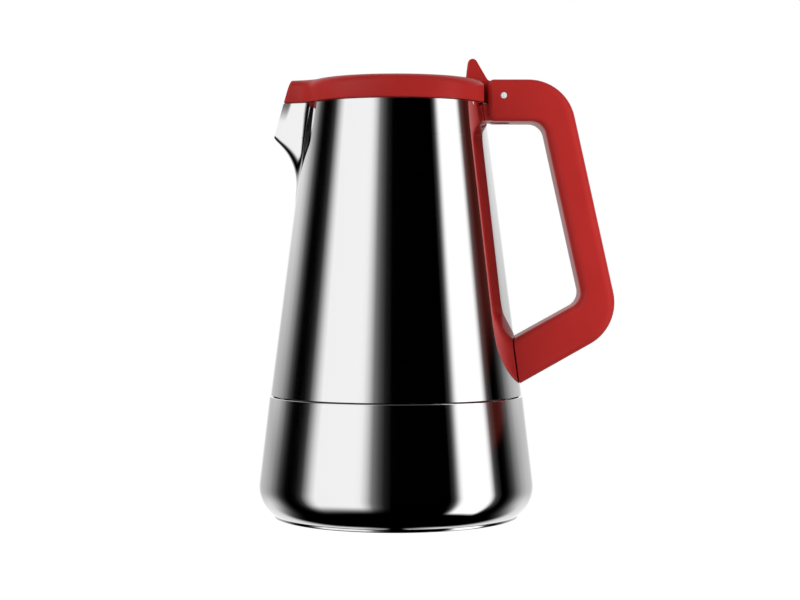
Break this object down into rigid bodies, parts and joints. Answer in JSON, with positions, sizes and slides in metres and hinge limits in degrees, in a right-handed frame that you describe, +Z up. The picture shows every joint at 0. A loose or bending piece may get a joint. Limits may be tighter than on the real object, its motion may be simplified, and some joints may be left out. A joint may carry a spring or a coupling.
{
  "type": "moka pot",
  "caption": "Stovetop coffee maker: polished steel boiler and tapered collector with a drawn-out spout, red side handle and hinged red lid, with funnel, filter, gasket and safety valve.",
  "frame": {"origin": "where the pot's axis meets the surface it stands on", "axes": "+Z up along the pot's axis; the handle points to +X, the spout to -X, and the safety valve is on the +Y side"},
  "size_m": [0.1413, 0.1201, 0.1823],
  "materials": {
    "polished_steel": "mirror-polished stainless steel",
    "plain_steel": "plain pressed stainless steel",
    "aluminium": "rolled",
    "brass": "turned",
    "silicone": "matt silicone rubber",
    "red_nylon": "satin moulded nylon"
  },
  "bodies": {
    "base": {"base_cap": "polished_steel", "diffuser_disc": "aluminium", "boiler": "polished_steel", "valve_body": "brass", "valve_washer": "silicone", "valve_nut": "brass", "valve_spring": "plain_steel", "valve_retainer": "brass"},
    "valve_stem": {"valve_stem": "brass"},
    "funnel": {"funnel": "plain_steel", "funnel_sieve": "plain_steel"},
    "gasket": {"gasket": "silicone"},
    "filter_plate": {"filter_plate": "plain_steel"},
    "collector": {"collector": "polished_steel", "thread_cup": "plain_steel", "column": "plain_steel", "column_cap": "plain_steel", "upper_bracket": "plain_steel", "lower_bracket": "plain_steel", "handle": "red_nylon", "handle_screw": "plain_steel", "hinge_pin": "polished_steel"},
    "lid": {"lid": "red_nylon"}
  },
  "joints": [
    {"name": "collector_lift", "type": "slide", "parent": "base", "child": "gasket", "axis": [0, 0, 1], "range_m": [0, 0.11]},
    {"name": "funnel_lift", "type": "slide", "parent": "base", "child": "funnel", "axis": [0, 0, 1], "range_m": [0, 0.055]},
    {"name": "thread_rise", "type": "slide", "parent": "gasket", "child": "filter_plate", "axis": [0, 0, 1], "range_m": [0, 0.00755]},
    {"name": "collector_turn", "type": "hinge", "parent": "filter_plate", "child": "collector", "pos_m": [0, 0, 0], "axis": [0, 0, 1], "range_deg": [0, 900]},
    {"name": "lid_hinge", "type": "hinge", "parent": "collector", "child": "lid", "pos_m": [0.04243, 0, 0.16716], "axis": [0, 1, 0], "range_deg": [0, 95]},
    {"name": "valve_lift", "type": "slide", "parent": "base", "child": "valve_stem", "axis": [0, 1, 0], "range_m": [0, 0.0012], "stiffness_N_per_m": 1500, "springref_m": -0.0025, "deforming": ["valve_spring"]}
  ],
  "couplings": [
    {"joint": "funnel_lift", "follows": "collector_lift", "ratio": 0.5},
    {"joint": "thread_rise", "follows": "collector_turn", "m_per_rad": 0.00047746}
  ]
}
